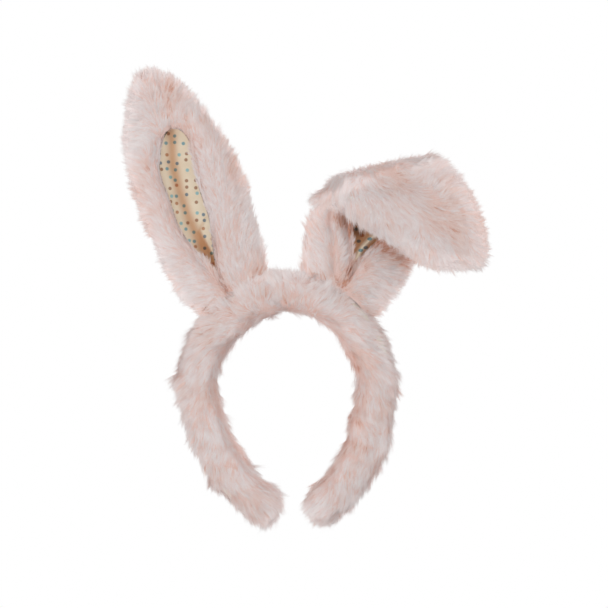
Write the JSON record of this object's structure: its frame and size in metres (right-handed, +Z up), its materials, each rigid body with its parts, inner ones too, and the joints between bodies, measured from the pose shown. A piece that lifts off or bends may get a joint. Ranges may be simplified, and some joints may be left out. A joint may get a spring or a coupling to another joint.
{
  "type": "animal ears headband",
  "caption": "Plush headband for costumes: a springy fur-covered band with two bendable, lined rabbit ears, one upright and one folded over.",
  "frame": {"origin": "centre of the head circle: the middle of the band's round inner wall", "axes": "+Z up as worn, through the top of the band; -Y is the front, which shows the ears' linings; +X to the side of the folded ear"},
  "size_m": [0.261, 0.0631, 0.3429],
  "materials": {
    "fur": "long soft pile, dusty pink",
    "printed_cotton": "plain weave with small dots",
    "edging": "narrow woven edging",
    "wadding": "fluffy polyester fibre",
    "foam": "open-cell foam",
    "core_plastic": "moulded, satin",
    "thread": "twisted sewing thread",
    "wire": "annealed wire"
  },
  "bodies": {
    "crown": {"core_crown": "core_plastic", "padding_crown": "foam", "sleeve_crown": "fur", "seam_stitches_crown": "thread", "left_ear_tack_stitches": "thread", "right_ear_tack_stitches": "thread"},
    "left_leg": {"left_leg_core": "core_plastic", "left_leg_padding": "foam", "left_leg_sleeve": "fur", "left_leg_seam_stitches": "thread", "left_tip_gather_stitch": "thread"},
    "left_ear": {"left_ear_front_panel_lower": "fur", "left_ear_back_panel_lower": "fur", "left_ear_lining_lower": "printed_cotton", "left_ear_wadding_lower": "wadding", "left_ear_slit_edging_lower": "edging", "left_ear_wire_lower": "wire"},
    "left_ear_tip": {"left_ear_front_panel_upper": "fur", "left_ear_back_panel_upper": "fur", "left_ear_lining_upper": "printed_cotton", "left_ear_wadding_upper": "wadding", "left_ear_slit_edging_upper": "edging", "left_ear_wire_upper": "wire"},
    "right_leg": {"right_leg_core": "core_plastic", "right_leg_padding": "foam", "right_leg_sleeve": "fur", "right_leg_seam_stitches": "thread", "right_tip_gather_stitch": "thread"},
    "right_ear": {"right_ear_front_panel_lower": "fur", "right_ear_back_panel_lower": "fur", "right_ear_lining_lower": "printed_cotton", "right_ear_wadding_lower": "wadding", "right_ear_slit_edging_lower": "edging", "right_ear_wire_lower": "wire"},
    "right_ear_tip": {"right_ear_front_panel_upper": "fur", "right_ear_back_panel_upper": "fur", "right_ear_lining_upper": "printed_cotton", "right_ear_wadding_upper": "wadding", "right_ear_slit_edging_upper": "edging", "right_ear_wire_upper": "wire"}
  },
  "joints": [
    {"name": "left_leg_flex", "type": "hinge", "parent": "crown", "child": "left_leg", "pos_m": [-0.05944, 0, 0.01931], "axis": [0, 1, 0], "range_deg": [-3, 14], "stiffness_Nm_per_rad": 1.1},
    {"name": "left_ear_sway", "type": "hinge", "parent": "crown", "child": "left_ear", "pos_m": [-0.04918, 0, 0.07917], "axis": [0.8494, 0, 0.5277], "range_deg": [-25, 25]},
    {"name": "left_ear_fold", "type": "hinge", "parent": "left_ear", "child": "left_ear_tip", "pos_m": [-0.06728, -0.0105, 0.14353], "axis": [0.9553, 0, -0.2957], "range_deg": [0, 168]},
    {"name": "right_leg_flex", "type": "hinge", "parent": "crown", "child": "right_leg", "pos_m": [0.05944, 0, 0.01931], "axis": [0, -1, 0], "range_deg": [-3, 14], "stiffness_Nm_per_rad": 1.1},
    {"name": "right_ear_sway", "type": "hinge", "parent": "crown", "child": "right_ear", "pos_m": [0.04918, 0, 0.07917], "axis": [0.8494, 0, -0.5277], "range_deg": [-25, 25]},
    {"name": "right_ear_fold", "type": "hinge", "parent": "right_ear", "child": "right_ear_tip", "pos_m": [0.06728, -0.0105, 0.14353], "axis": [0.9553, 0, 0.2957], "range_deg": [-168, 0]}
  ]
}
